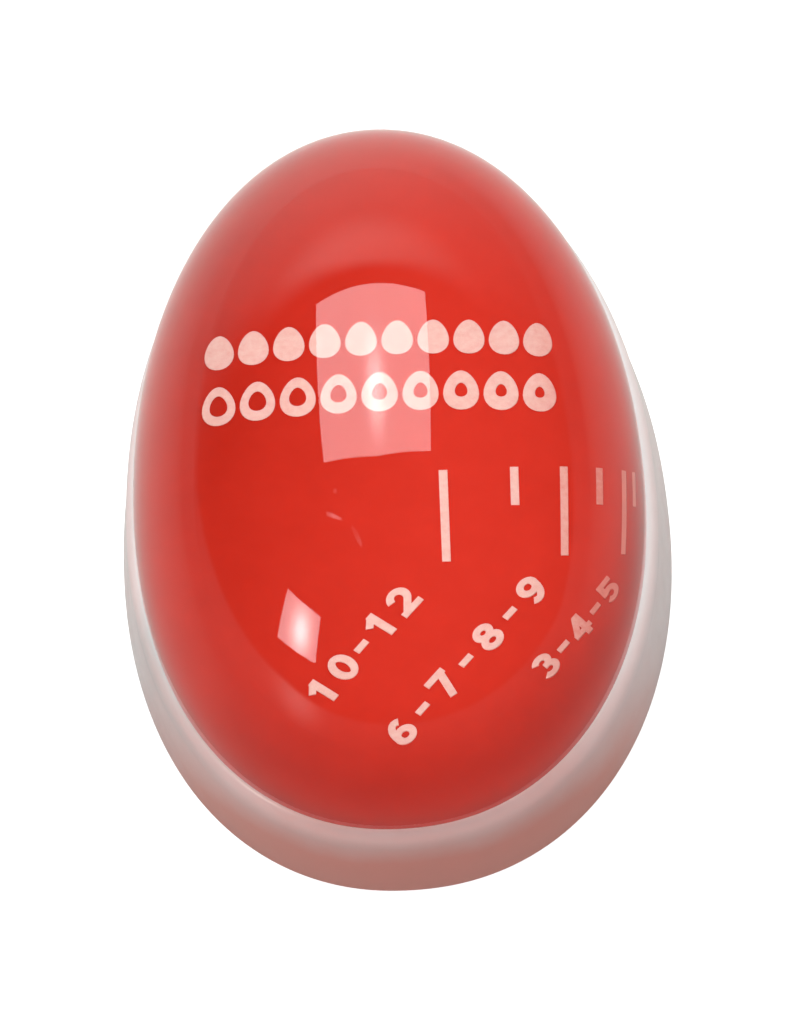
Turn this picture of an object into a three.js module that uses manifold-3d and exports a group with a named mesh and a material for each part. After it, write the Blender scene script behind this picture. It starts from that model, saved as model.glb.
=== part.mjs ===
// Colour-changing egg timer: a flat-bottomed resin egg that is put in the pan beside the eggs.
// A hazy base casting carries a red heat-sensitive layer, white marks are printed on that layer,
// and a clear domed lens is cast over them. It is one solid block with no moving parts.
// Millimetres, +Z up, origin under the middle of the outline, wide end towards -Y.

import * as THREE from 'three';
import { mergeVertices } from 'three/addons/utils/BufferGeometryUtils.js';
import Module from 'manifold-3d';

// Whole body
const LENGTH = 53.8;
const WIDTH = 38;
const HEIGHT = 25;
const TAPER = 0.059; // how strongly the outline narrows from the wide end to the far end
const ROUNDNESS = 2.13; // exponent of the outline: 2 gives an ellipse, more gives fuller corners

// Base casting
const BASE_TOP = 8.4; // plane on which the heat-sensitive layer shows and the lens stands
const FOOT_ROUND = 0.7; // round at the lower outside edge
const DRAFT = 0.8; // how far the wall leans in between the foot and the shoulder
const SHOULDER_RISE = 2.2; // height of the round above the wall
const SHOULDER_INSET = 1.6; // from the outline to the inside of the shoulder, where the lens starts
const LAND = 0.4; // flat strip between the shoulder and the recess
const RECESS_DEPTH = 2;

// Heat-sensitive layer
const LAYER_GAP = 0.1; // resin line between the layer's edge and the recess wall
const LAYER_ROUND = 0.3;

// Print, all on the layer's top face
const INK = 0.1; // thickness of the deposit
const TITLE_TURN = THREE.MathUtils.degToRad(-1.4);
const EGG_ROW = { left: -8.3, right: 8.1, base: 6, count: 10, height: 2.2, fill: 0.86 };
const YOLK_ROW = { left: -8.6, right: 8.2, base: 2.32, count: 9, height: 2.55, fill: 0.87 };
const YOLK_SMALLEST = 0.3; // hole in the ring pictograms, as a share of the egg
const YOLK_LARGEST = 0.54;
const MARK_TAPER = 0.2; // how much narrower a pictogram's top is than its foot
const TICK_TOP = -1.55; // height of the row of ticks on the middle line
const TICK_RISE = 0.03; // slope of that row
const TICK_WIDTH = 0.4;
const LONG_TICK = { length: 5.4, places: [2.57, 8.4, 12.25] };
const SHORT_TICK = { length: 2.3, places: [5.92, 10.42, 13.35] };
const CAP_HEIGHT = 1.56;
const DIGIT_WIDTH = 0.67; // these three as shares of the cap height, before the stretch
const DASH_WIDTH = 0.4;
const PEN = 0.215; // width of the pen that draws the figures
const STRETCH = 1.25; // how much broader than drawn the figures are
const NUMERAL_TURN = THREE.MathUtils.degToRad(49.7);
const NUMERALS = [
  { name: 'numeral_inner', text: '10-12', end: [1.43, -9], length: 7.65 },
  { name: 'numeral_middle', text: '6-7-8-9', end: [7.68, -8.72], length: 11.5 },
  { name: 'numeral_outer', text: '3-4-5', end: [12.27, -8.85], length: 7.05 },
];

// Mesh steps
const AROUND = 96;
const DOME_RINGS = 16;
const WIDEST_STEPS = 20; // rounds of settling on the widest place
const ROUND_STEPS = 5;
const MARK_STEPS = 28;
const ARC_STEP = 15; // degrees of a pen arc between two points

const manifold = await Module();
manifold.setup();

const group = new THREE.Group();
group.name = 'egg_timer';

const CLEAR = { color: 0xf3ece8, roughness: 0.05, transparent: true, opacity: 0.35 };
const HAZY = { color: 0xd9c5c1, roughness: 0.45 };
const RED = { color: 0xc62a1e, roughness: 0.5 };
const WHITE = { color: 0xf5eeea, roughness: 0.6 };

function add(name, geometry, finish) {
  const mesh = new THREE.Mesh(geometry, new THREE.MeshStandardMaterial(finish));
  mesh.name = name;
  group.add(mesh);
}

// The raw outline: its half width at `along`, which runs from -1 at the wide end to 1 at the far end.
const rawWidth = (along) =>
  Math.max(1 - Math.abs(along) ** ROUNDNESS, 0) ** (1 / ROUNDNESS) * Math.exp(-TAPER * along);

// Where it is widest. There the round-off and the taper balance.
function widestPlace() {
  let back = 0;
  for (let i = 0; i < WIDEST_STEPS; i++) back = (TAPER * (1 - back ** ROUNDNESS)) ** (1 / (ROUNDNESS - 1));
  return -back;
}
const WIDEST = widestPlace();
const AXIS_Y = (WIDEST * LENGTH) / 2;

// Half of an egg lying on its long side, drawn in by `inset` all round. From the point under its
// crown, the distance to its surface in the direction `turn` round the vertical and `rise` above it.
function reach(inset, crown, turn, rise) {
  const halfLength = LENGTH / 2 - inset;
  const halfWidth = WIDTH / 2 - inset;
  let near = 0;
  let far = LENGTH;
  while (far - near > 1e-6) {
    const d = (near + far) / 2;
    const x = d * Math.cos(rise) * Math.cos(turn);
    const along = (AXIS_Y + d * Math.cos(rise) * Math.sin(turn)) / halfLength;
    const z = (d * Math.sin(rise) * halfWidth) / crown;
    if (Math.hypot(x, z) < (halfWidth * rawWidth(along)) / rawWidth(WIDEST)) near = d;
    else far = d;
  }
  return near;
}

// One closed ring of points. With a rise above zero it lies on the dome over `level`.
function ring(inset, level, crown = 1, rise = 0) {
  return Array.from({ length: AROUND }, (_, i) => {
    const turn = (i / AROUND) * 2 * Math.PI;
    const d = reach(inset, crown, turn, rise);
    return [
      d * Math.cos(rise) * Math.cos(turn),
      AXIS_Y + d * Math.cos(rise) * Math.sin(turn),
      level + d * Math.sin(rise),
    ];
  });
}

// Closed body through a stack of rings, with a flat or pointed cap at each end.
function loft(rings, lastPoint) {
  const flat = (r) => [0, AXIS_Y, r[0][2]];
  const points = [...rings.flat(), flat(rings[0]), lastPoint ?? flat(rings[rings.length - 1])];
  const [first, last] = [points.length - 2, points.length - 1];
  const top = (rings.length - 1) * AROUND;
  const faces = [];
  for (let i = 0; i < AROUND; i++) {
    const j = (i + 1) % AROUND;
    faces.push(first, j, i, last, top + i, top + j);
    for (let k = 0; k < top; k += AROUND) {
      const [a, b, c, d] = [k + i, k + j, k + AROUND + j, k + AROUND + i];
      faces.push(a, b, c, a, c, d);
    }
  }
  const geometry = new THREE.BufferGeometry();
  geometry.setAttribute('position', new THREE.Float32BufferAttribute(points.flat(), 3));
  geometry.setIndex(faces);
  geometry.computeVertexNormals();
  return geometry;
}

// Quarter turns from 0 to 90 degrees.
const quarter = (steps) => Array.from({ length: steps + 1 }, (_, i) => ((i / steps) * Math.PI) / 2);

function solid(geometry) {
  const bare = new THREE.BufferGeometry();
  bare.setAttribute('position', geometry.getAttribute('position'));
  bare.setIndex(geometry.index);
  const merged = mergeVertices(bare);
  return new manifold.Manifold(new manifold.Mesh({
    numProp: 3,
    vertProperties: merged.getAttribute('position').array,
    triVerts: new Uint32Array(merged.index.array),
  }));
}

function geometryOf(body) {
  const mesh = body.getMesh();
  const geometry = new THREE.BufferGeometry();
  geometry.setAttribute('position', new THREE.BufferAttribute(new Float32Array(mesh.vertProperties), 3));
  geometry.setIndex(new THREE.BufferAttribute(new Uint32Array(mesh.triVerts), 1));
  geometry.computeVertexNormals();
  return geometry;
}

// --- Castings ---

const foot = quarter(ROUND_STEPS).map((a) =>
  ring(FOOT_ROUND * (1 - Math.sin(a)), FOOT_ROUND * (1 - Math.cos(a))));
const wallTop = BASE_TOP - SHOULDER_RISE;
const shoulder = quarter(ROUND_STEPS).map((a) =>
  ring(DRAFT + (SHOULDER_INSET - DRAFT) * (1 - Math.cos(a)), wallTop + SHOULDER_RISE * Math.sin(a)));
const recessInset = SHOULDER_INSET + LAND;
const recessFloor = BASE_TOP - RECESS_DEPTH;
const recess = [ring(recessInset, BASE_TOP), ring(recessInset, recessFloor)];
add('base_casting', loft([...foot, ...shoulder, ...recess]), HAZY);

const layerInset = recessInset + LAYER_GAP;
const layerFoot = quarter(ROUND_STEPS).map((a) =>
  ring(layerInset + LAYER_ROUND * (1 - Math.sin(a)), recessFloor + LAYER_ROUND * (1 - Math.cos(a))));
add('heat_sensitive_disc', loft([...layerFoot, ring(layerInset, BASE_TOP)]), RED);

const crown = HEIGHT - BASE_TOP;
const domeRings = quarter(DOME_RINGS).slice(0, -1).map((a) => ring(SHOULDER_INSET, BASE_TOP, crown, a));
let lens = solid(loft(domeRings, [0, AXIS_Y, HEIGHT]));

// --- Print ---

const point = (x, y) => new THREE.Vector2(x, y);

// Each mark is a thin solid on the layer, and the lens is cast round it.
function print(name, shapes, place) {
  const geometries = shapes.map((shape) => {
    const geometry = new THREE.ExtrudeGeometry(shape, { depth: INK, bevelEnabled: false, curveSegments: 1 });
    return solid(geometry.applyMatrix4(place));
  });
  const mark = manifold.Manifold.union(geometries);
  add(name, geometryOf(mark), WHITE);
  lens = lens.subtract(mark);
}

const onLayer = (x, y, turn = 0, wide = 1, high = 1) =>
  new THREE.Matrix4().makeTranslation(x, y, BASE_TOP)
    .multiply(new THREE.Matrix4().makeRotationZ(turn))
    .multiply(new THREE.Matrix4().makeScale(wide, high, 1));

// An egg standing on its wide end, `scale` times as large as the pictogram it sits in.
function eggPath(height, width, scale) {
  return Array.from({ length: MARK_STEPS }, (_, i) => {
    const a = (i / MARK_STEPS) * 2 * Math.PI;
    const x = ((width * scale) / 2) * Math.cos(a) * (1 - MARK_TAPER * Math.sin(a));
    return point(x, (height / 2) * (1 + scale * Math.sin(a)));
  });
}

function eggRow(name, row, holes) {
  const pitch = (row.right - row.left) / row.count;
  for (let i = 0; i < row.count; i++) {
    const x = row.left + pitch * (i + 0.5);
    const shape = new THREE.Shape(eggPath(row.height, pitch * row.fill, 1));
    if (holes) {
      const share = THREE.MathUtils.lerp(YOLK_LARGEST, YOLK_SMALLEST, i / (row.count - 1));
      shape.holes.push(new THREE.Path(eggPath(row.height, pitch * row.fill, share)));
    }
    const y = row.base + x * Math.tan(TITLE_TURN);
    print(`${name}_${i + 1}`, [shape], onLayer(x, y, TITLE_TURN));
  }
}

eggRow('egg_mark', EGG_ROW, false);
eggRow('yolk_mark', YOLK_ROW, true);

function tickRow(name, tick) {
  const half = TICK_WIDTH / 2;
  const shape = new THREE.Shape([point(-half, 0), point(-half, -tick.length),
    point(half, -tick.length), point(half, 0)]);
  tick.places.forEach((x, i) => print(`${name}_${i + 1}`, [shape], onLayer(x, TICK_TOP + TICK_RISE * x)));
}

tickRow('tick_long', LONG_TICK);
tickRow('tick_short', SHORT_TICK);

// Pen strokes. A stroke is a run of points down the middle of the pen; a loop closes on itself.
function arc(cx, cy, rx, ry, from, to) {
  const steps = Math.max(2, Math.round(Math.abs(to - from) / ARC_STEP));
  return Array.from({ length: steps + 1 }, (_, i) => {
    const a = THREE.MathUtils.degToRad(from + ((to - from) * i) / steps);
    return point(cx + rx * Math.cos(a), cy + ry * Math.sin(a));
  });
}
const loop = (cx, cy, rx, ry) => ({ closed: true, points: arc(cx, cy, rx, ry, 0, 360).slice(0, -1) });
const line = (...points) => ({ closed: false, points });

// The outline `side` half-pens to the left of a stroke, with mitred corners.
function edge({ closed, points }, side) {
  const n = points.length;
  return points.map((p, i) => {
    const before = closed || i > 0 ? points[(i + n - 1) % n] : p;
    const after = closed || i < n - 1 ? points[(i + 1) % n] : p;
    const dirs = [p.clone().sub(before), after.clone().sub(p)].filter((d) => d.length() > 0)
      .map((d) => d.normalize());
    const [a, b] = [dirs[0], dirs[dirs.length - 1]];
    const normal = point(-(a.y + b.y), a.x + b.x).normalize();
    const reachOut = (side * PEN) / 2 / (normal.x * -a.y + normal.y * a.x);
    return p.clone().add(normal.multiplyScalar(reachOut));
  });
}
function stroke(path) {
  if (!path.closed) return new THREE.Shape([...edge(path, 1), ...edge(path, -1).reverse()]);
  const shape = new THREE.Shape(edge(path, -1));
  shape.holes.push(new THREE.Path(edge(path, 1)));
  return shape;
}

// Figures one unit high on pen strokes, DIGIT_WIDTH wide.
const [L, R, B, T] = [PEN / 2, DIGIT_WIDTH - PEN / 2, PEN / 2, 1 - PEN / 2]; // limits of the pen's path
const M = DIGIT_WIDTH / 2;
const RX = M - L;
const six = [loop(M, 0.335, RX, 0.335 - B), line(...arc(M + 0.06, 0.36, RX + 0.05, T - 0.36, 60, 190))];
const FIGURES = {
  0: [loop(M, 0.5, RX, T - 0.5)],
  1: [line(point(M + 0.05, 0), point(M + 0.05, 1)), line(point(M, 0.88), point(M - 0.23, 0.68))],
  2: [line(...arc(M, 0.64, RX, T - 0.64, 170, -42), point(L + 0.03, B)),
    line(point(L - PEN / 2, B), point(R + PEN / 2, B))],
  3: [line(...arc(M - 0.02, 0.7, RX - 0.02, T - 0.7, 155, -100)),
    line(...arc(M, 0.315, RX, 0.315 - B, 100, -155))],
  4: [line(point(0, 0.3), point(DIGIT_WIDTH, 0.3)), line(point(R - 0.1, 0), point(R - 0.1, 1)),
    line(point(R - 0.12, 0.94), point(L, 0.34))],
  5: [line(point(L, T), point(R + 0.05, T)), line(point(L + 0.03, 1), point(L + 0.03, 0.42)),
    line(...arc(M, 0.345, RX, 0.345 - B, 140, -150))],
  6: six,
  7: [line(point(0.01, T), point(DIGIT_WIDTH - 0.01, T)), line(point(R - 0.01, 0.94), point(M - 0.1, 0))],
  8: [loop(M, 0.71, RX - 0.03, T - 0.71), loop(M, 0.31, RX, 0.31 - B)],
  9: six.map((s) => ({ ...s, points: s.points.map((p) => point(DIGIT_WIDTH - p.x, 1 - p.y)) })),
  '-': [line(point(0, 0.5), point(DASH_WIDTH, 0.5))],
};

for (const { name, text, end, length } of NUMERALS) {
  const wide = CAP_HEIGHT * STRETCH;
  const widths = [...text].map((c) => wide * (c === '-' ? DASH_WIDTH : DIGIT_WIDTH));
  const space = (length - widths.reduce((a, b) => a + b)) / (text.length - 1);
  let along = -length;
  [...text].forEach((c, i) => {
    const x = end[0] + along * Math.cos(NUMERAL_TURN);
    const y = end[1] + along * Math.sin(NUMERAL_TURN);
    print(`${name}_${i + 1}`, FIGURES[c].map(stroke), onLayer(x, y, NUMERAL_TURN, wide, CAP_HEIGHT));
    along += widths[i] + space;
  });
}

add('dome_lens', geometryOf(lens), CLEAR);

export default group;
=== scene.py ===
import math

import bpy
import numpy as np
from mathutils import Matrix, Vector


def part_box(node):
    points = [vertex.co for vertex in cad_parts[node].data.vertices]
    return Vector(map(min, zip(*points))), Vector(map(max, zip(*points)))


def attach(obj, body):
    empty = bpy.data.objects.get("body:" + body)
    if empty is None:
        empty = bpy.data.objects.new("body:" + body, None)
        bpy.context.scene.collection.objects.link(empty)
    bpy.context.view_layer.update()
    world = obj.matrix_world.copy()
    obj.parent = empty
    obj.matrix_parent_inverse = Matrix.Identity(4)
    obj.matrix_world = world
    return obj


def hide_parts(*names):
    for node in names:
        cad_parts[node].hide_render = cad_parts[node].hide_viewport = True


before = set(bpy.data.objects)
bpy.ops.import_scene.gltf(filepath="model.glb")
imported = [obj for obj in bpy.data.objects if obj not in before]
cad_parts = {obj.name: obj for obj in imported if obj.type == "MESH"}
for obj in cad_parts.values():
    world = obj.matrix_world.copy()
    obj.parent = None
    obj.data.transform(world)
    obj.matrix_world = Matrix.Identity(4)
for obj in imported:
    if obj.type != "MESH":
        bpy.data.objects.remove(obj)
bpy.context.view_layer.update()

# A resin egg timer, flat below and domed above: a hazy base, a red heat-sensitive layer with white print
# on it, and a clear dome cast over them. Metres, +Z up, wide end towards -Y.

MM = 0.001

# --- Sizes, from the frame ---

CASTINGS = ("base_casting", "heat_sensitive_disc", "dome_lens")
_, base_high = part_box("base_casting")
disc_low, disc_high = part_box("heat_sensitive_disc")
lens_low, lens_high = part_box("dome_lens")
HALF_LENGTH = base_high.y
HALF_WIDTH = base_high.x
LEVEL = lens_low.z  # plane of the printed layer
CROWN = lens_high.z - LEVEL
FOOT_INSET = HALF_WIDTH - lens_high.x
DISC_INSET = HALF_WIDTH - disc_high.x
TAPER = 0.059  # how strongly the outline narrows from the wide end to the far end
ROUNDNESS = 2.13  # exponent of the outline: 2 gives an ellipse, more gives fuller corners
DRAFT = 0.8 * MM
SHOULDER_RISE = 2.2 * MM
FOOT_ROUND = 0.7 * MM
DISC_ROUND = 0.3 * MM
FLANGE = 0.1 * MM  # thin edge of the red layer that reaches out to the foot of the dome
CLEARANCE = 0.03 * MM  # how far the layer is bedded into the dome, so that no air lies between them

# Mesh steps
AROUND = 288
DOME_STEPS = 72
FOOT_STEPS = 10
SHOULDER_STEPS = 18
DISC_STEPS = 6
WIDEST_STEPS = 20  # rounds of settling on the widest place
HALVINGS = 44  # rounds of halving the search for the surface


# --- Meshes ---

def raw_width(along):
    """Half width of the raw outline at along, which runs from -1 at the wide end to 1 at the far end."""
    return np.maximum(1 - np.abs(along) ** ROUNDNESS, 0) ** (1 / ROUNDNESS) * np.exp(-TAPER * along)


def widest_place():
    """Where the raw outline is widest. There the round-off and the taper balance."""
    back = 0.0
    for _ in range(WIDEST_STEPS):
        back = (TAPER * (1 - back ** ROUNDNESS)) ** (1 / (ROUNDNESS - 1))
    return -back


WIDEST = widest_place()
AXIS_Y = WIDEST * HALF_LENGTH


def ring(inset, level, rise=0.0, crown=1.0):
    """Points round the egg outline drawn in by inset, or on the dome at an angle of rise above its foot."""
    half_length, half_width = HALF_LENGTH - inset, HALF_WIDTH - inset
    turn = np.linspace(0, 2 * math.pi, AROUND, endpoint=False)
    near, far = np.zeros(AROUND), np.full(AROUND, 2 * HALF_LENGTH)
    for _ in range(HALVINGS):
        d = (near + far) / 2
        x = d * math.cos(rise) * np.cos(turn)
        z = d * math.sin(rise) * half_width / crown
        along = (AXIS_Y + d * math.cos(rise) * np.sin(turn)) / half_length
        inside = np.hypot(x, z) < half_width * raw_width(along) / raw_width(WIDEST)
        near, far = np.where(inside, d, near), np.where(inside, far, d)
    return np.stack([near * math.cos(rise) * np.cos(turn),
                     AXIS_Y + near * math.cos(rise) * np.sin(turn),
                     level + near * math.sin(rise)], axis=1)


def lofted(name, rings, last=None):
    """A closed smooth mesh through a stack of rings, with a hard edge round its flat caps."""
    first = (0, AXIS_Y, rings[0][0][2])
    points = [tuple(p) for r in rings for p in r] + [first, last or (0, AXIS_Y, rings[-1][0][2])]
    n, top = AROUND, (len(rings) - 1) * AROUND
    faces = []
    for i in range(n):
        j = (i + 1) % n
        faces += [(len(points) - 2, j, i), (len(points) - 1, top + i, top + j)]
        faces += [(k + i, k + j, k + n + j, k + n + i) for k in range(0, top, n)]
    mesh = bpy.data.meshes.new(name)
    mesh.from_pydata(points, [], faces)
    mesh.polygons.foreach_set("use_smooth", [True] * len(mesh.polygons))
    hard = mesh.attributes.new("sharp_edge", "BOOLEAN", "EDGE")
    for e in mesh.edges:
        a, b = sorted(e.vertices)
        hard.data[e.index].value = b < n or (last is None and top <= a and b < top + n)
    ob = bpy.data.objects.new(name, mesh)
    bpy.context.scene.collection.objects.link(ob)
    return ob


def quarter(steps):
    """Quarter turns from 0 to 90 degrees."""
    return [math.pi / 2 * i / steps for i in range(steps + 1)]


# --- Shader nodes ---

class Value:
    """What one output of a node gives. Arithmetic on it adds Math nodes to its graph."""

    def __init__(self, graph, socket):
        self.graph = graph
        self.socket = socket

    def __add__(self, other):
        return self.graph.maths("ADD", self, other)

    def __sub__(self, other):
        return self.graph.maths("SUBTRACT", self, other)

    def __rsub__(self, other):
        return self.graph.maths("SUBTRACT", other, self)

    def __mul__(self, other):
        return self.graph.maths("MULTIPLY", self, other)

    def __truediv__(self, other):
        return self.graph.maths("DIVIDE", self, other)

    def __pow__(self, other):
        return self.graph.maths("POWER", self, other)

    def __abs__(self):
        return self.graph.maths("ABSOLUTE", self)

    def at_least(self, other):
        return self.graph.maths("MAXIMUM", self, other)

    def at_most(self, other):
        return self.graph.maths("MINIMUM", self, other)

    def below(self, other):
        return self.graph.maths("LESS_THAN", self, other)


class Graph:
    """Adds nodes to one node tree and wires them."""

    def __init__(self, tree):
        self.tree = tree

    def put(self, socket, value):
        if isinstance(value, Value):
            self.tree.links.new(value.socket, socket)
        else:
            socket.default_value = value

    def add(self, kind, inputs, out, **settings):
        node = self.tree.nodes.new(kind)
        for key, value in settings.items():
            setattr(node, key, value)
        for key, value in inputs.items():
            self.put(node.inputs[key], value)
        return Value(self, node.outputs[out])

    def maths(self, operation, a, b=0.0):
        return self.add("ShaderNodeMath", {0: a, 1: b}, "Value", operation=operation)

    def coords(self, kind="Object"):
        """The place on the surface in metres or, as Generated in the world, a ray's direction."""
        return self.add("ShaderNodeTexCoord", {}, kind)

    def ray(self, kind):
        return self.add("ShaderNodeLightPath", {}, kind)

    def axes(self, vector):
        first = self.add("ShaderNodeSeparateXYZ", {"Vector": vector}, "X")
        return [Value(self, socket) for socket in first.socket.node.outputs]

    def noise(self, scale, detail=2.0, rough=0.5):
        """Cloudy noise with about this many waves to a metre."""
        inputs = {"Vector": self.coords(), "Scale": scale, "Detail": detail, "Roughness": rough}
        return self.add("ShaderNodeTexNoise", inputs, "Fac")

    def spread(self, value, low, high, start=0.3, stop=0.7, smooth=False):
        """Runs from low to high while value runs from start to stop, by default the limits of a noise."""
        inputs = {"Value": value, "From Min": start, "From Max": stop, "To Min": low, "To Max": high}
        kind = "SMOOTHSTEP" if smooth else "LINEAR"
        return self.add("ShaderNodeMapRange", inputs, "Result", interpolation_type=kind)

    def mix(self, factor, a, b, kind="FLOAT"):
        return self.add("ShaderNodeMix", {"Factor": factor, "A": a, "B": b}, "Result", data_type=kind)

    def blend(self, factor, *colours):
        return self.mix(factor, *((*c, 1) if isinstance(c, tuple) else c for c in colours), kind="RGBA")

    def bump(self, height, strength, distance):
        inputs = {"Height": height, "Strength": strength, "Distance": distance}
        return self.add("ShaderNodeBump", inputs, "Normal")


def ellipse(x, y, reach_x, reach_y):
    """The squared distance from the middle, as a share of the reaches."""
    return (x / reach_x) ** 2 + (y / reach_y) ** 2


def fade(x, y, reach_x, reach_y):
    """A smooth fall-off from one in the middle."""
    square = ellipse(x, y, reach_x, reach_y)
    return square.graph.maths("EXPONENT", square * -1.0)


def material(name, **constants):
    """A Principled material with constant values on its own sockets. Returns it, its graph and its shader."""
    mat = bpy.data.materials.new(name)
    mat.use_nodes = True
    shader = mat.node_tree.nodes["Principled BSDF"]
    for key, value in constants.items():
        shader.inputs[key.replace("_", " ")].default_value = value
    return mat, Graph(mat.node_tree), shader.inputs


# --- Materials ---

RESIN_IOR = 1.5
CLEAR_TINT = (1.0, 0.985, 0.975)
HAZE = (0.98, 0.965, 0.95)
# Grey of the painted shade on the base's left shoulder
PAINTED_SHADE_GREY = (0.74, 0.82, 0.81)
# Pink of the resin's random cloudiness, and also the painted red glow of the layer seen through the base
CLOUD_TINT_AND_RED_GLOW = (0.85, 0.385, 0.32)
RED = (0.755, 0.041, 0.024)
DARK_RED = (0.54, 0.021, 0.010)
INK = (0.98, 0.61, 0.54)
WORN_INK = (0.84, 0.25, 0.20)
WAVES = 0.06 * MM  # height of the slow waves in the dome's surface
GRAIN = 0.05 * MM  # height of the fine grain in the base's surface


def clear_resin():
    """Clear resin with a slightly wavy and faintly worn surface."""
    mat, g, shader = material("clear_resin", Base_Color=(*CLEAR_TINT, 1), Transmission_Weight=1.0,
                              IOR=RESIN_IOR)
    g.put(shader["Roughness"], g.spread(g.noise(260, 4), 0.0, 0.03))
    g.put(shader["Normal"], g.bump(g.noise(90, 1), 0.25, WAVES))
    return mat


def hazy_resin():
    """Cloudy resin, pink with painted red glow of the layer seen through it, most of all low down and at the
    wide end. Painted shade makes it greyer on the left shoulder.
    """
    mat, g, shader = material("hazy_resin", Transmission_Weight=0.56, IOR=RESIN_IOR)
    x, y, z = g.axes(g.coords())
    # Painted red glow: the layer's red seen through the base, as a pink tint strongest low down and towards
    # the wide end
    low = g.spread(z, 0.95, 0.0, 2.5 * MM, 7.6 * MM) * g.spread(y, 1.0, 0.12, -23 * MM, -10 * MM)
    wide_end_red_glow = g.spread(y, 0.38, 0.0, -24 * MM, -12 * MM)
    # The cloud noise is the resin's own uneven tone
    cloud = g.spread(g.noise(180, 4, 0.6), -0.08, 0.08)
    # Painted shade: the left shoulder of the base turns greyer and darker
    left_shoulder_shade = (g.spread(x, 1.0, 0.0, -17 * MM, -9 * MM) * g.spread(y, 1.0, 0.0, -10.5 * MM, -7 * MM)
                     * g.spread(z, 0.0, 1.0, 5.5 * MM, 7.2 * MM))
    haze_and_shade = g.blend(left_shoulder_shade, HAZE, PAINTED_SHADE_GREY)
    g.put(shader["Base Color"], g.blend(low + wide_end_red_glow + cloud, haze_and_shade, CLOUD_TINT_AND_RED_GLOW))
    g.put(shader["Roughness"], g.spread(g.noise(500, 3), 0.28, 0.36))
    g.put(shader["Normal"], g.bump(g.noise(700, 3), 0.15, GRAIN))
    return mat


def heat_sensitive_red():
    """Mottled red, with painted shade darkening it in a soft ring near its edge and in a strip a little in
    from the left.
    """
    mat, g, shader = material("heat_sensitive_red", Specular_IOR_Level=0.0, Roughness=0.6)
    x, y, _ = g.axes(g.coords())
    outward = ellipse(x, y - 3 * MM, disc_high.x, disc_high.y)
    ring_on = g.spread(outward, 0.0, 0.55, 0.5, 0.85, smooth=True)
    ring_off = g.spread(outward, 0.0, 0.6, 0.86, 1.12, smooth=True)
    # Painted shade: a soft ring near the edge of the layer darkens the red, weaker towards the left
    edge = (ring_on - ring_off) * g.spread(x, 0.3, 1.0, -10 * MM, -2 * MM)
    # Painted shade: a strip a little in from the left darkens the red, lifted again at the far left
    left = g.spread(x, 0.66, 0.0, -7.5 * MM, 2 * MM) * g.spread(y, 0.3, 1.0, -14 * MM, 3 * MM)
    left = left - g.spread(x, 0.62, 0.0, -12 * MM, -8.5 * MM)
    # Random mottle, plus the painted shade of the ring and the strip
    mottle_and_shade = g.noise(420, 6, 0.62) * 0.45 + (edge + left)
    g.put(shader["Base Color"], g.blend(mottle_and_shade, RED, DARK_RED))
    return mat


def white_ink():
    """Ink that lets the red show through in fine specks, and more of it towards the right."""
    mat, g, shader = material("white_ink", Specular_IOR_Level=0.0, Roughness=0.7)
    x, _, _ = g.axes(g.coords())
    worn = g.spread(x, 0.0, 1.0, 6.6 * MM, 11.2 * MM)
    thin = g.spread(g.noise(2600, 5, 0.7), 0.0, 0.35, 0.38, 0.72) + worn
    g.put(shader["Base Color"], g.blend(thin, INK, WORN_INK))
    return mat


# --- Pieces ---

def piece(ob, mat, node):
    """Gives a casting its material, hangs it on the root body, and hides the CAD node that it stands for."""
    ob.data.materials.append(mat)
    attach(ob, "root")
    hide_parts(node)


dome_rings = [ring(FOOT_INSET, LEVEL, a, CROWN) for a in quarter(DOME_STEPS)[:-1]]
piece(lofted("clear_dome", dome_rings, (0, AXIS_Y, LEVEL + CROWN)), clear_resin(),
      "dome_lens")

wall_top = LEVEL - CLEARANCE - SHOULDER_RISE
foot = [ring(FOOT_ROUND * (1 - math.sin(a)), FOOT_ROUND * (1 - math.cos(a))) for a in quarter(FOOT_STEPS)]
shoulder = [ring(DRAFT + (FOOT_INSET - DRAFT) * (1 - math.cos(a)), wall_top + SHOULDER_RISE * math.sin(a))
            for a in quarter(SHOULDER_STEPS)]
piece(lofted("hazy_base", foot + shoulder), hazy_resin(), "base_casting")

disc_foot = [ring(DISC_INSET + DISC_ROUND * (1 - math.sin(a)), disc_low.z + DISC_ROUND * (1 - math.cos(a)))
             for a in quarter(DISC_STEPS)]
flange = [ring(DISC_INSET, LEVEL - 2 * FLANGE), ring(FOOT_INSET + CLEARANCE, LEVEL - FLANGE),
          ring(FOOT_INSET + CLEARANCE, LEVEL + CLEARANCE)]
piece(lofted("red_layer", disc_foot + flange), heat_sensitive_red(),
      "heat_sensitive_disc")

ink = white_ink()
for name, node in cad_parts.items():
    if name not in CASTINGS:
        for slot in node.material_slots:
            slot.link = "OBJECT"
            slot.material = ink

# --- Stage ---

WHITE = (1.0, 1.0, 1.0)
BLACK = (0.0, 0.0, 0.0)
WARM = (1.0, 0.98, 0.93)  # cast of the studio in the dome's reflections
FLOOR_GREY = (0.4, 0.4, 0.4)
FLOOR_REDDENED = (0.82, 0.19, 0.14)
FLOOR_LEVEL = 0.9  # how bright the floor looks to the camera
FLOOR_REACH = 3  # half its size
FLOOR_DROP = 0.02 * MM  # keeps the floor clear of the flat underside
BRIGHT_SIDE = math.radians(12)  # where the studio is brightest, turned from +Y towards -X
DARK_CEILING = 0.02
LAMP_DISTANCE = 0.45
LAMP_TARGET = Vector((0, 0, 0.015))


def mirror_ray(g):
    """One for what a reflection shows, and zero for everything else."""
    return g.ray("Is Glossy Ray") * g.ray("Is Reflection Ray")


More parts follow.
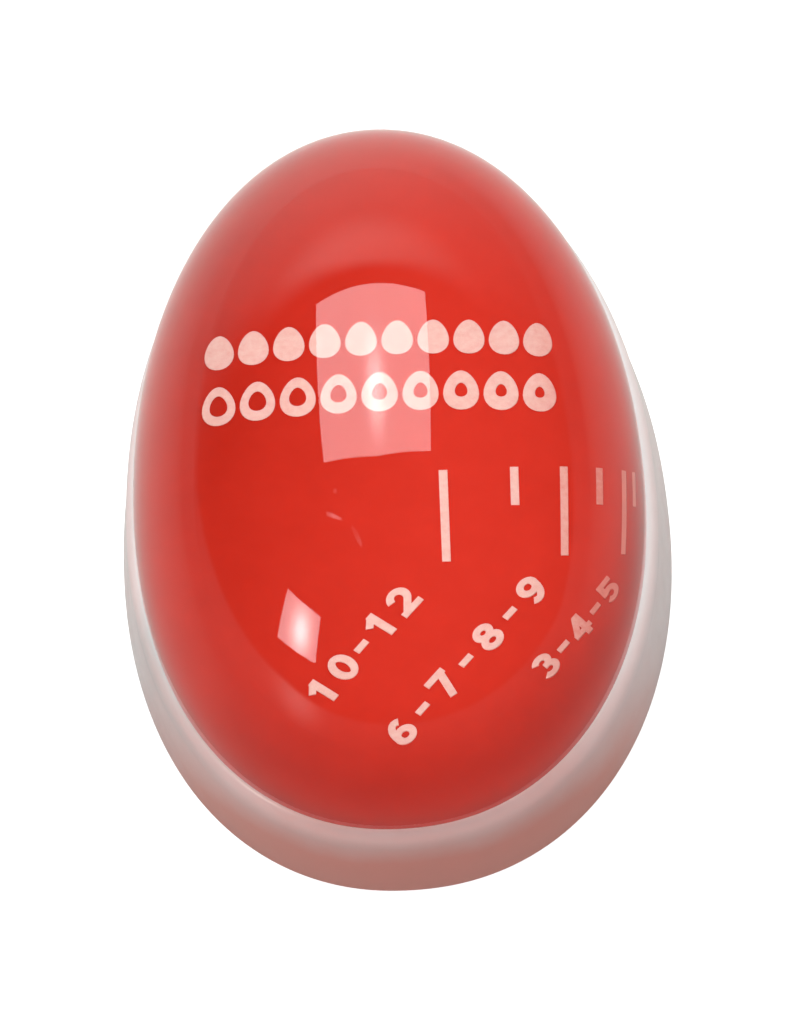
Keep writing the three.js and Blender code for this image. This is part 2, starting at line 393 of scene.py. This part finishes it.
def studio_level(g, x, y):
    """How bright the reflected studio is low down in this direction: a lobe behind the object, and a band."""
    lobe = (y * math.cos(BRIGHT_SIDE) - x * math.sin(BRIGHT_SIDE)).at_least(0.0) ** 3
    band = (abs(x) * 0.12 - x * 0.04 + 0.2) * g.spread(y, 1.0, 0.0, 0.0, 0.9)
    return lobe * 1.12, band


def card(name, mat, corners, place):
    """A flat stage object through its corners, in its own frame."""
    mesh = bpy.data.meshes.new(name)
    mesh.from_pydata(corners, [], [range(len(corners))])
    mesh.materials.append(mat)
    ob = bpy.data.objects.new(name, mesh)
    ob.matrix_world = place
    bpy.context.scene.collection.objects.link(ob)


def floor_pale():
    """White to the camera and through the clear castings, and dimmer as a source of light.

    The dome mirrors it brightest behind the object. Under the object it is shaded, and reddened by the
    layer. From below it can be seen through.
    """
    mat, g, shader = material("floor_pale", Roughness=0.9, Specular_IOR_Level=0.1)
    place = g.coords()
    x, y, _ = g.axes(place)
    away_x, away_y, _ = g.axes(g.add("ShaderNodeVectorMath", {0: place}, "Vector", operation="NORMALIZE"))
    distance = g.add("ShaderNodeVectorMath", {0: place}, "Value", operation="LENGTH")
    mirror = mirror_ray(g)
    direct = (1.0 - mirror) * g.ray("Diffuse Depth").below(0.5)

    lobe, band = studio_level(g, away_x, away_y)
    near = away_y * 0.36 + (0.64 - away_x * 0.05)
    mirrored = g.mix(g.spread(distance, 0, 1, 0.02, 0.14), near, lobe + band)
    source = g.mix(mirror, g.spread(y, 0.07, 0.5, -0.05, 0.25), mirrored)
    under = g.spread(ellipse(x + 0.7 * MM, y + 1.3 * MM, 14.8 * MM, 23 * MM), 1, 0, 0.70, 1.35, smooth=True)

    g.put(shader["Base Color"], g.blend(mirror, FLOOR_GREY, BLACK))
    g.put(shader["Emission Strength"], g.mix(direct, source, FLOOR_LEVEL))
    g.put(shader["Emission Color"], g.blend(direct, WARM, g.blend(under, WHITE, FLOOR_REDDENED)))
    g.put(shader["Alpha"], 1.0 - g.add("ShaderNodeNewGeometry", {}, "Backfacing"))
    return mat


def softbox(name, direction, across, corners, edge, centre, spot):
    """A glowing card that looks at the object from this direction.

    Its corners, and the middle and reach of its bright spot, are shares of its distance.
    """
    mat, g, shader = material(name, Base_Color=(*BLACK, 1), Roughness=1.0, Specular_IOR_Level=0.0,
                              Emission_Color=(*WHITE, 1))
    x, y, _ = g.axes(g.coords())
    middle_x, middle_y, reach_x, reach_y = (share * LAMP_DISTANCE for share in spot)
    bright = fade(x - middle_x, y - middle_y, reach_x, reach_y)
    g.put(shader["Emission Strength"], g.spread(bright, edge, centre, 0, 1))
    back = Vector(direction).normalized()
    side = Vector(across)
    side = (side - back * side.dot(back)).normalized()
    turn = Matrix((side, back.cross(side), back)).transposed()
    card(name, mat, [(u * LAMP_DISTANCE, v * LAMP_DISTANCE, 0) for u, v in corners],
         Matrix.Translation(LAMP_TARGET + back * LAMP_DISTANCE) @ turn.to_4x4())


def studio():
    """The world: white to the camera, brighter above and to the right as a source of light.

    The dome mirrors a pale sweep that rises behind the object, a low band with a brighter patch in
    front, and a dark ceiling.
    """
    world = bpy.data.worlds.new("studio")
    world.use_nodes = True
    g = Graph(world.node_tree)
    x, y, z = g.axes(g.coords("Generated"))

    lobe, band = studio_level(g, x, y)
    bow = abs(x) ** 2
    above_sweep = (z - (y * 0.74 - bow * 0.35)) / (bow * 0.3 + 0.045)
    sweep = (lobe * g.spread(z, 0.85, 2.0, 0.32, 0.52, smooth=True)
             * g.spread(above_sweep, 1, 0, -1, 1, smooth=True))
    band_top = g.spread(y + x.at_most(0.0) * 0.55, 0.25, 0.0, -1.0, -0.2)
    patch = fade(x + 0.7, z - 0.22, 0.11, 0.14) * g.spread(y, 1.3, 0.0, -0.3, 0.0)
    band = (band + patch) * g.spread(z - band_top, 1, 0, 0.0, 0.05, smooth=True)
    room = g.spread(z, 0.3, 1.0, 0.0, 1.0) + x.at_least(0.0) * 0.5

    mirror = mirror_ray(g)
    level = g.mix(mirror, room, sweep + band + DARK_CEILING)
    background = world.node_tree.nodes["Background"].inputs
    g.put(background["Color"], g.blend(mirror, WHITE, WARM))
    g.put(background["Strength"], g.mix(g.ray("Is Camera Ray"), level, 1.0))
    return world


floor_corners = [(-FLOOR_REACH, -FLOOR_REACH, 0), (FLOOR_REACH, -FLOOR_REACH, 0),
                 (FLOOR_REACH, FLOOR_REACH, 0), (-FLOOR_REACH, FLOOR_REACH, 0)]
card("floor", floor_pale(), floor_corners, Matrix.Translation((0, 0, -FLOOR_DROP)))

softbox("overhead_softbox", (0, 0.52, 0.854), (1, 0, 0),
        [(-0.45, -0.30), (-0.03, -0.325), (0.37, -0.29), (0.33, 0.305), (-0.05, 0.30), (-0.40, 0.295)],
        edge=5.2, centre=14, spot=(-0.02, -0.08, 0.055, 0.13))
softbox("side_softbox", (-0.666, -0.377, 0.644), (0.177, -0.15, 0.082),
        [(-0.145, -0.20), (0.18, -0.235), (0.17, 0.07), (-0.115, 0.095)],
        edge=6, centre=21, spot=(0.035, -0.08, 0.07, 0.12))
softbox("arc_lamp", (-0.3, 0, 0.95), (1, 0, 0),
        [(-0.12, 0.022), (-0.012, -0.012), (-0.012, 0.0), (-0.075, 0.028), (-0.122, 0.042)],
        edge=1.2, centre=3.2, spot=(-0.06, 0.01, 0.04, 0.03))
softbox("streak_lamp", (-0.3, 0, 0.95), (1, 0, 0),
        [(0.055, -0.05), (0.09, -0.12), (0.12, -0.15), (0.13, -0.13), (0.10, -0.07), (0.065, -0.04)],
        edge=0.5, centre=1.1, spot=(0.11, -0.12, 0.03, 0.03))
softbox("dot_lamp", (-0.3, 0, 0.95), (1, 0, 0),
        [(-0.058, 0.11), (-0.036, 0.104), (-0.03, 0.124), (-0.05, 0.13)],
        edge=0.8, centre=0.9, spot=(0, 0, 0.1, 0.1))

bpy.context.scene.world = studio()

# --- Camera ---

ELEVATION = math.radians(66.55)
AZIMUTH = math.radians(5.68)
ROLL = math.radians(-8.99)
EYE_DISTANCE = 0.35
view = Vector((math.sin(AZIMUTH) * math.cos(ELEVATION), -math.cos(AZIMUTH) * math.cos(ELEVATION),
               math.sin(ELEVATION)))
right = Vector((0, 0, 1)).cross(view).normalized()
turn = Matrix((right, view.cross(right), view)).transposed().to_4x4()
camera = bpy.data.cameras.new("camera")
camera.sensor_fit = "HORIZONTAL"
camera.sensor_width = 36
camera.lens = 228.5
camera.shift_x = 0.0003
camera.shift_y = 0.0196
camera.clip_start = 0.01
eye = bpy.data.objects.new("camera", camera)
eye.matrix_world = Matrix.Translation(view * EYE_DISTANCE) @ turn @ Matrix.Rotation(ROLL, 4, "Z")
bpy.context.scene.collection.objects.link(eye)
bpy.context.scene.camera = eye
bpy.context.scene.view_settings.view_transform = "Standard"
bpy.context.scene.view_settings.look = "None"
